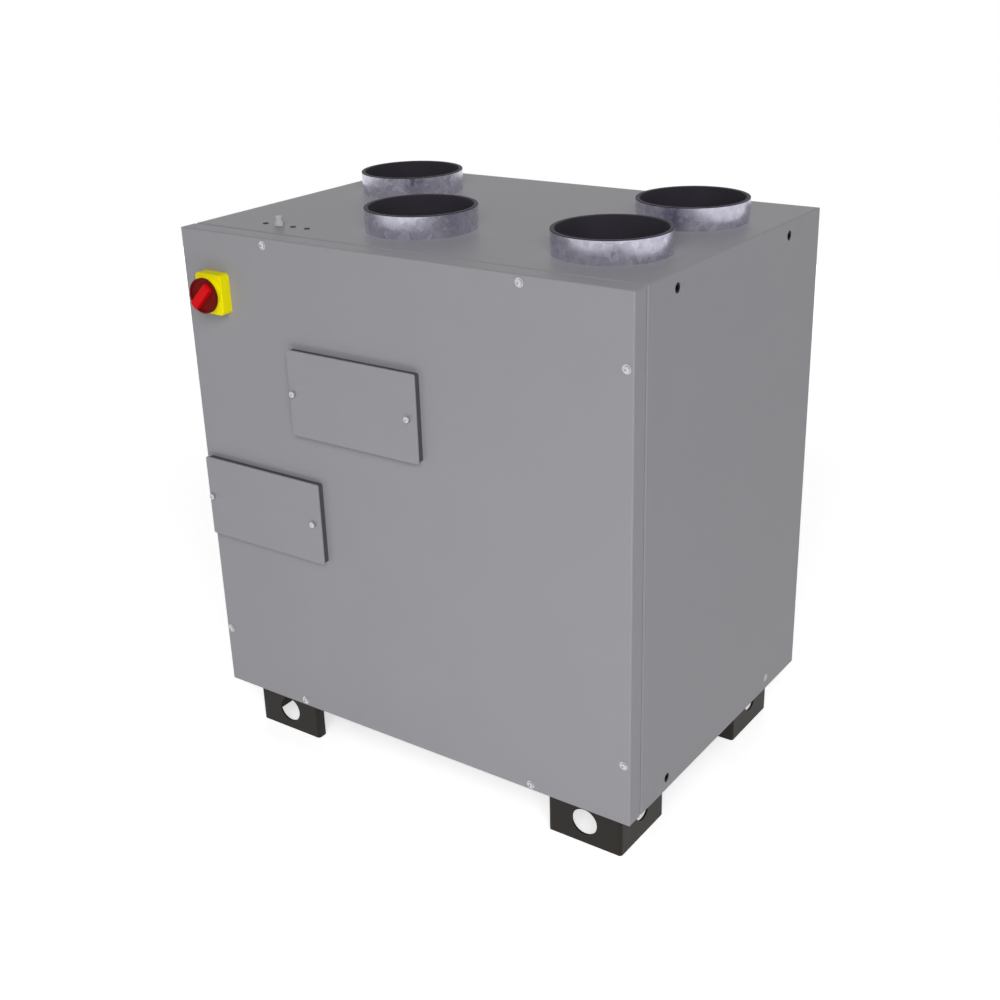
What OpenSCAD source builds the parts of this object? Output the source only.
// Air handling unit: an insulated casing on four folded feet, with a screwed front door,
// two filter covers, four duct spigots in the top, cable entries and a rotary isolator switch.
// Millimetres, +Z up, the front looks along -Y. The origin is on the floor, under the middle
// of the unit's outer box.

/* [Casing] */
// Width of the casing, side to side
casing_w = 955; // [880:5:1100]
// Depth of the casing, from the door's face to the back
casing_d = 680; // [640:5:800]
// Height of the casing, without feet and spigots
casing_h = 950; // [900:5:1100]
// Thickness of the insulated panels
panel_t = 40; // [35:1:50]
// Rounding of the folded outer edges
edge_r = 3; // [1:0.5:5]
// Play between panels that butt against each other
joint_gap = 0.2; // [0.1:0.1:0.5]

/* [Front door] */
// Thickness of the door
door_t = 37; // [30:1:45]
// Thickness of the squeezed seal behind the door
door_seal_t = 3; // [2:0.5:5]
// Distance of the seal from the outer faces of the casing
door_seal_inset = 3; // [2:0.5:6]
// Width of the seal's strip
door_seal_w = 25; // [15:1:30]

/* [Filter covers] */
// Width of a cover plate
cover_w = 290; // [240:5:300]
// Height of a cover plate
cover_h = 162; // [130:2:190]
// Sheet thickness of a cover plate
cover_t = 3; // [1.5:0.5:4]
// Corner rounding of a cover plate
cover_corner_r = 4; // [2:0.5:8]
// Thickness of the seal behind a cover plate
cover_seal_t = 12; // [4:0.5:16]
// Set-back of the seal from the cover's edge
cover_seal_inset = 1.5; // [1:0.5:4]
// Middle of the upper cover, from the casing's left side
upper_cover_x = 397; // [380:1:440]
// Middle of the upper cover, above the casing's underside
upper_cover_z = 677; // [660:1:690]
// Middle of the lower cover, from the casing's left side
lower_cover_x = 156; // [155:1:200]
// Middle of the lower cover, above the casing's underside
lower_cover_z = 425; // [380:1:450]

/* [Duct spigots] */
// Outer diameter of a spigot's collar at its wide end
spigot_d = 203; // [190:1:206]
// Amount by which a collar is drawn in below its wide end
collar_step = 1; // [0.5:0.5:2]
// Height of a collar's wide end, with the seal's flange
wide_h = 26; // [15:1:30]
// Sheet thickness of the collar
spigot_wall = 2; // [1.5:0.5:3]
// Height of a spigot above the casing, with its lip seal
spigot_h = 41; // [35:1:60]
// Distance of the right spigots' axes from the casing's right side
spigot_side = 157.5; // [155:0.5:170]
// Distance of the spigots' axes from the casing's front and back
spigot_front = 200; // [190:1:210]
// Distance of the front left spigot's axis from the casing's left side
front_left_side = 405; // [380:0.5:420]
// Distance of the rear left spigot's axis from the casing's left side
rear_left_side = 165; // [155:0.5:175]
// Thickness of the rubber sleeve in a collar
sleeve_t = 4; // [3:0.5:6]
// Thickness of the seal's flange over the collar's rim
rim_t = 1.5; // [1:0.5:4]
// Play round the collar and its seal
spigot_gap = 0.2; // [0.1:0.1:0.4]

/* [Feet] */
// Height of a foot
foot_h = 104; // [95:1:140]
// Width and depth of a foot
foot_w = 155; // [140:1:180]
// Sheet thickness of a foot
foot_t = 4; // [3:0.5:6]
// Outer radius of the folds in a foot
foot_fold_r = 6; // [4:0.5:10]
// Depth of the lips at the inner ends of the front and back skirts
foot_lip = 20; // [15:1:30]
// Distance of a foot from the casing's faces
foot_inset = 39; // [20:1:60]
// Diameter of the lifting-bar holes in the front and back skirts
lift_hole_d = 53; // [40:1:60]
// Height of the lifting-bar holes above the floor
lift_hole_z = 45; // [42:1:55]
// Diameter of the holes in the side skirts
tie_hole_d = 46; // [30:1:50]
// Height of the holes in the side skirts above the floor
tie_hole_z = 57; // [50:1:65]

/* [Isolator switch] */
// Middle of the switch, from the casing's left side
switch_x = 80; // [70:1:95]
// Middle of the switch, below the casing's top
switch_drop = 111; // [100:1:130]
// Width of the housing
housing_w = 64; // [63:1:90]
// Height of the housing
housing_h = 75; // [70:1:95]
// Depth of the housing
housing_d = 22; // [18:1:35]
// Corner rounding of the housing
housing_corner_r = 8; // [4:0.5:12]
// Diameter of the round boss on the housing
boss_d = 60; // [54:1:62]
// Height of the boss on the housing
boss_h = 9; // [4:1:14]
// Diameter of the dial
dial_d = 65; // [60:1:70]
// Thickness of the dial at its rim
dial_t = 8; // [6:0.5:14]
// Rounding of the dial's front edge
dial_edge_r = 1.5; // [0.5:0.5:2]
// Width of the dial's rim
dial_rim_w = 3.5; // [2.5:0.5:6]
// Depth of the dial's recess inside the rim
dial_recess = 4; // [2:0.5:5]
// Running gap between the boss and the dial
dial_gap = 0.8; // [0.5:0.1:2]
// Width of the grip bar
grip_w = 18; // [14:1:26]
// Height of the grip bar over the dial's rim
grip_h = 7; // [4:1:20]
// Play between the grip bar and the dial's rim
grip_play = 0.2; // [0.1:0.1:0.4]
// Turn of the grip from upright, clockwise from the front
grip_turn = 45; // [0:1:45]
// Diameter of the shaft
shaft_d = 8; // [6:0.5:12]
// Depth of the shaft in the boss and the housing
shaft_depth = 20; // [10:1:22]
// Radial play of the shaft in the housing
shaft_play = 0.06; // [0.02:0.01:0.1]

/* [Cable entries] */
// Distance of the cable entries from the casing's front
entry_front = 96; // [85:1:110]
// Place of the cable gland, from the casing's left side
gland_x = 157; // [152:1:162]
// Diameter of the gland's hole
entry_d = 12; // [10:0.5:13]
// Width of the gland's body across its flats
gland_flats = 16; // [15:0.5:20]
// Height of the gland over the casing
gland_h = 17; // [13:1:22]
// Height of the gland's hexagonal body
gland_body_h = 6; // [4:1:9]
// Diameter of the gland's round cap
gland_cap_d = 14; // [13:0.5:14.5]
// Diameter of the cable hole in the gland
gland_bore_d = 7; // [5:0.5:8]
// Diameter of the blind grommets' holes
blind_d = 8; // [6:0.5:9]
// Places of the blind grommets, from the casing's left side
grommet_x = [123, 190, 224];
// Diameter of a grommet's flange
grommet_d = 11; // [10:0.5:14]
// Height of a grommet over the casing
grommet_h = 1; // [1:0.5:3]
// Radial play of glands and grommets in their holes
entry_play = 0.2; // [0.1:0.1:0.4]

/* [Side fixing holes] */
// Diameter of the fixing holes in the sides
fixing_d = 18; // [12:0.5:20]
// Depth of the fixing holes
fixing_depth = 25; // [15:1:30]
// Distance of the fixing holes from the front and back
fixing_front = 133; // [110:1:160]
// Distance of the fixing holes from the top and underside
fixing_edge = 26; // [20:1:40]

/* [Hidden] */
$fn = 64;

GREY_PAINT = "#929295";
GALVANISED = "#c3c2cc";
BLACK_RUBBER = "#24242a";
DARK_STEEL = "#3c3834";
YELLOW = "#e8de00";
RED = "#cd0f14";
DARK_RED = "#6e140f";
GREY_POLYAMIDE = "#a8aaad";

CUT = 1;

left_x = -casing_w / 2;
right_x = casing_w / 2;
boss_off = housing_d + boss_h;
front_reach = boss_off + dial_gap + dial_t + grip_h;
front_y = -(casing_d - front_reach) / 2;
back_y = front_y + casing_d;
mid_y = front_y + casing_d / 2;
body_y = front_y + door_t + door_seal_t;
under_z = foot_h;
top_z = foot_h + casing_h;

inner_x = right_x - panel_t - joint_gap;

collar_r = spigot_d / 2;
neck_r = collar_r - collar_step;
collar_in_r = neck_r - spigot_wall;
sleeve_r = collar_in_r - spigot_gap;
duct_r = sleeve_r - sleeve_t;
rim_z = top_z + spigot_h;
collar_top_z = rim_z - rim_t;
wide_z = rim_z - wide_h;

// Spigot axes in plan
spigot_right_x = right_x - spigot_side;
spigot_rear_left_x = left_x + rear_left_side;
spigot_front_left_x = left_x + front_left_side;
spigot_front_y = front_y + spigot_front;
spigot_rear_y = back_y - spigot_front;
SPIGOTS = [
    [spigot_front_left_x, spigot_front_y],
    [spigot_right_x, spigot_front_y],
    [spigot_rear_left_x, spigot_rear_y],
    [spigot_right_x, spigot_rear_y],
];

entry_y = front_y + entry_front;

switch_axis_x = left_x + switch_x;
switch_axis_z = top_z - switch_drop;
dial_back_y = front_y - boss_off - dial_gap;
recess_y = dial_back_y - dial_t + dial_recess;

// Rectangle with round corners, centred
module rounded_rect(w, h, r) {
    square([w - 2 * r, h], center = true);
    square([w, h - 2 * r], center = true);
    for (sx = [-1, 1], sy = [-1, 1])
        translate([sx * (w / 2 - r), sy * (h / 2 - r)])
            circle(r);
}

// Block with all its edges rounded, between two corners
module rounded_block(low, high, r) {
    size = high - low;
    translate((low + high) / 2)
        intersection() {
            linear_extrude(size.z, center = true)
                rounded_rect(size.x, size.y, r);
            rotate([90, 0, 0])
                linear_extrude(size.y, center = true)
                    rounded_rect(size.x, size.z, r);
            rotate([90, 0, 90])
                linear_extrude(size.x, center = true)
                    rounded_rect(size.y, size.z, r);
        }
}

// Box between two corners
module box(low, high) {
    translate(low)
        cube(high - low);
}

// Plate that stands in front of the door, from one distance off its face to another
module front_plate(x, z, w, h, r, off, t) {
    translate([x, front_y - off, z])
        rotate([90, 0, 0])
            linear_extrude(t)
                rounded_rect(w, h, r);
}

// Outline of the casing behind the door
module casing_block() {
    rounded_block([left_x, body_y, under_z], [right_x, back_y, top_z], edge_r);
}

// Fixing holes in one side, drilled from outside; side is -1 on the left and 1 on the right
module fixing_holes(side) {
    ys = [front_y + fixing_front, back_y - fixing_front];
    zs = [under_z + fixing_edge, top_z - fixing_edge];
    for (y = ys, z = zs)
        translate([side * (right_x + CUT), y, z])
            rotate([0, -side * 90, 0])
                cylinder(d = fixing_d, h = fixing_depth + CUT);
}

module side_panel(side) {
    difference() {
        intersection() {
            casing_block();
            translate([side * (right_x - panel_t / 2), mid_y, under_z + casing_h / 2])
                cube([panel_t, casing_d, casing_h], center = true);
        }
        fixing_holes(side);
    }
}

module base_panel() {
    color(GREY_PAINT)
        intersection() {
            casing_block();
            box([-inner_x, body_y, under_z], [inner_x, back_y, under_z + panel_t]);
        }
}

module top_panel() {
    color(GREY_PAINT)
        difference() {
            intersection() {
                casing_block();
                box([-inner_x, body_y, top_z - panel_t], [inner_x, back_y, top_z]);
            }
            for (p = SPIGOTS)
                translate([p.x, p.y, top_z - panel_t - CUT])
                    cylinder(r = neck_r + spigot_gap, h = panel_t + 2 * CUT);
            translate([left_x + gland_x, entry_y, top_z - panel_t - CUT])
                cylinder(d = entry_d, h = panel_t + 2 * CUT);
            for (x = grommet_x)
                translate([left_x + x, entry_y, top_z - panel_t - CUT])
                    cylinder(d = blind_d, h = panel_t + 2 * CUT);
        }
}

module left_panel() {
    color(GREY_PAINT)
        side_panel(-1);
}

module right_panel() {
    color(GREY_PAINT)
        side_panel(1);
}

module back_panel() {
    gap_z = panel_t + joint_gap;
    color(GREY_PAINT)
        intersection() {
            casing_block();
            box([-inner_x, back_y - panel_t, under_z + gap_z], [inner_x, back_y, top_z - gap_z]);
        }
}

module front_door() {
    color(GREY_PAINT)
        rounded_block([left_x, front_y, under_z], [right_x, front_y + door_t, top_z], edge_r);
}

// Frame of seal between the door and the edges of the panels
module door_seal() {
    i = door_seal_inset;
    o = door_seal_inset + door_seal_w;
    color(BLACK_RUBBER)
        difference() {
            box([left_x + i, front_y + door_t, under_z + i], [right_x - i, body_y, top_z - i]);
            box([left_x + o, front_y + door_t - CUT, under_z + o], [right_x - o, body_y + CUT, top_z - o]);
        }
}

module cover(x, z) {
    color(GREY_PAINT)
        front_plate(left_x + x, under_z + z, cover_w, cover_h, cover_corner_r, cover_seal_t, cover_t);
}

module cover_seal(x, z) {
    i = 2 * cover_seal_inset;
    color(BLACK_RUBBER)
        front_plate(left_x + x, under_z + z, cover_w - i, cover_h - i, cover_corner_r, 0, cover_seal_t);
}

// Collar of galvanised sheet that stands in the top panel, wider at its end
module spigot(p) {
    color(GALVANISED)
        translate([p.x, p.y, 0])
            rotate_extrude()
                polygon([
                    [collar_in_r, top_z - panel_t],
                    [neck_r, top_z - panel_t],
                    [neck_r, wide_z],
                    [collar_r, wide_z],
                    [collar_r, collar_top_z],
                    [collar_in_r, collar_top_z],
                ]);
}

// Rubber sleeve in the collar, with a flange over the collar's rim
module lip_seal(p) {
    color(BLACK_RUBBER)
        translate([p.x, p.y, 0])
            rotate_extrude()
                polygon([
                    [duct_r, top_z - panel_t],
                    [sleeve_r, top_z - panel_t],
                    [sleeve_r, collar_top_z],
                    [collar_r, collar_top_z],
                    [collar_r, rim_z],
                    [duct_r, rim_z],
                ]);
}

// Foot under one corner: sx and sy are -1 or 1 for left or right and front or rear.
// A plate under the casing with three skirts, open below and, between two lips, towards the unit's middle.
module foot(sx, sy) {
    out_x = right_x - foot_inset;
    out_y = casing_d / 2 - foot_inset;
    mid_x = out_x - foot_w / 2;
    foot_mid_y = out_y - foot_w / 2;
    color(DARK_STEEL)
        translate([0, mid_y, 0])
            mirror([sx < 0 ? 1 : 0, 0, 0])
                mirror([0, sy < 0 ? 1 : 0, 0])
                    difference() {
                        intersection() {
                            rounded_block(
                                [out_x - 2 * foot_w, out_y - foot_w, -foot_h],
                                [out_x, out_y, foot_h],
                                foot_fold_r
                            );
                            translate([mid_x, foot_mid_y, 0])
                                linear_extrude(foot_h)
                                    rounded_rect(foot_w, foot_w, foot_fold_r);
                        }
                        box(
                            [out_x - foot_w + foot_t, out_y - foot_w + foot_t, -CUT],
                            [out_x - foot_t, out_y - foot_t, foot_h - foot_t]
                        );
                        box(
                            [out_x - foot_w - CUT, out_y - foot_w + foot_lip, -CUT],
                            [out_x - foot_t, out_y - foot_lip, foot_h - foot_t]
                        );
                        translate([mid_x, out_y + CUT, lift_hole_z])
                            rotate([90, 0, 0])
                                cylinder(d = lift_hole_d, h = foot_w + 2 * CUT);
                        translate([mid_x, foot_mid_y, tie_hole_z])
                            rotate([0, 90, 0])
                                cylinder(d = tie_hole_d, h = foot_w);
                    }
}

// Square housing with a round boss and a blind hole for the dial's shaft
module isolator_housing() {
    color(YELLOW)
        difference() {
            union() {
                front_plate(
                    switch_axis_x, switch_axis_z, housing_w, housing_h, housing_corner_r, 0, housing_d
                );
                translate([switch_axis_x, front_y, switch_axis_z])
                    rotate([90, 0, 0])
                        cylinder(d = boss_d, h = boss_off);
            }
            translate([switch_axis_x, front_y - boss_off + shaft_depth, switch_axis_z])
                rotate([90, 0, 0])
                    cylinder(d = shaft_d + 2 * shaft_play, h = shaft_depth + CUT);
        }
}

// Round dial with a raised rim and its shaft, turning on the switch's axis
module isolator_dial() {
    r = dial_d / 2;
    shaft_l = shaft_depth + dial_gap - shaft_play;
    color(DARK_RED)
        translate([switch_axis_x, dial_back_y, switch_axis_z])
            rotate([90, 0, 0])
                rotate_extrude() {
                    square([r, dial_t - dial_recess]);
                    translate([r - dial_rim_w, 0])
                        square([dial_rim_w - dial_edge_r, dial_t]);
                    translate([r - dial_rim_w, 0])
                        square([dial_rim_w, dial_t - dial_edge_r]);
                    translate([r - dial_edge_r, dial_t - dial_edge_r])
                        intersection() {
                            circle(dial_edge_r);
                            square(dial_edge_r);
                        }
                    translate([0, -shaft_l])
                        square([shaft_d / 2, shaft_l]);
                }
}

// Grip bar across the dial's recess, cut round at its ends
module isolator_grip() {
    r = dial_d / 2 - dial_rim_w - grip_play;
    bar_h = dial_recess + grip_h;
    color(RED)
        translate([switch_axis_x, recess_y, switch_axis_z])
            rotate([90, 0, 0])
                intersection() {
                    cylinder(r = r, h = bar_h);
                    rotate([0, 0, -grip_turn])
                        translate([0, 0, bar_h / 2])
                            cube([grip_w, dial_d, bar_h], center = true);
                }
}

// Gland with a hexagonal body and a round cap nut, in its hole in the top panel
module cable_gland() {
    color(GREY_POLYAMIDE)
        translate([left_x + gland_x, entry_y, top_z])
            difference() {
                union() {
                    cylinder(d = gland_flats / cos(30), h = gland_body_h, $fn = 6);
                    cylinder(d = gland_cap_d, h = gland_h);
                    translate([0, 0, -panel_t])
                        cylinder(d = entry_d - 2 * entry_play, h = panel_t + gland_body_h);
                }
                translate([0, 0, -panel_t - CUT])
                    cylinder(d = gland_bore_d, h = gland_h + panel_t + 2 * CUT);
            }
}

// Blind rubber grommet in one of the spare cable entries
module grommet(x) {
    color(BLACK_RUBBER)
        translate([left_x + x, entry_y, top_z]) {
            cylinder(d = grommet_d, h = grommet_h);
            translate([0, 0, -panel_t])
                cylinder(d = blind_d - 2 * entry_play, h = panel_t + grommet_h);
        }
}

base_panel();
top_panel();
left_panel();
right_panel();
back_panel();
front_door();
door_seal();
cover(upper_cover_x, upper_cover_z);  // upper_cover
cover_seal(upper_cover_x, upper_cover_z);  // upper_cover_seal
cover(lower_cover_x, lower_cover_z);  // lower_cover
cover_seal(lower_cover_x, lower_cover_z);  // lower_cover_seal
spigot(SPIGOTS[0]);  // spigot_front_left
spigot(SPIGOTS[1]);  // spigot_front_right
spigot(SPIGOTS[2]);  // spigot_rear_left
spigot(SPIGOTS[3]);  // spigot_rear_right
lip_seal(SPIGOTS[0]);  // lip_seal_front_left
lip_seal(SPIGOTS[1]);  // lip_seal_front_right
lip_seal(SPIGOTS[2]);  // lip_seal_rear_left
lip_seal(SPIGOTS[3]);  // lip_seal_rear_right
foot(-1, -1);  // foot_front_left
foot(1, -1);  // foot_front_right
foot(-1, 1);  // foot_rear_left
foot(1, 1);  // foot_rear_right
isolator_housing();
isolator_dial();
isolator_grip();
cable_gland();
grommet(grommet_x[0]);  // grommet_left
grommet(grommet_x[1]);  // grommet_middle
grommet(grommet_x[2]);  // grommet_right
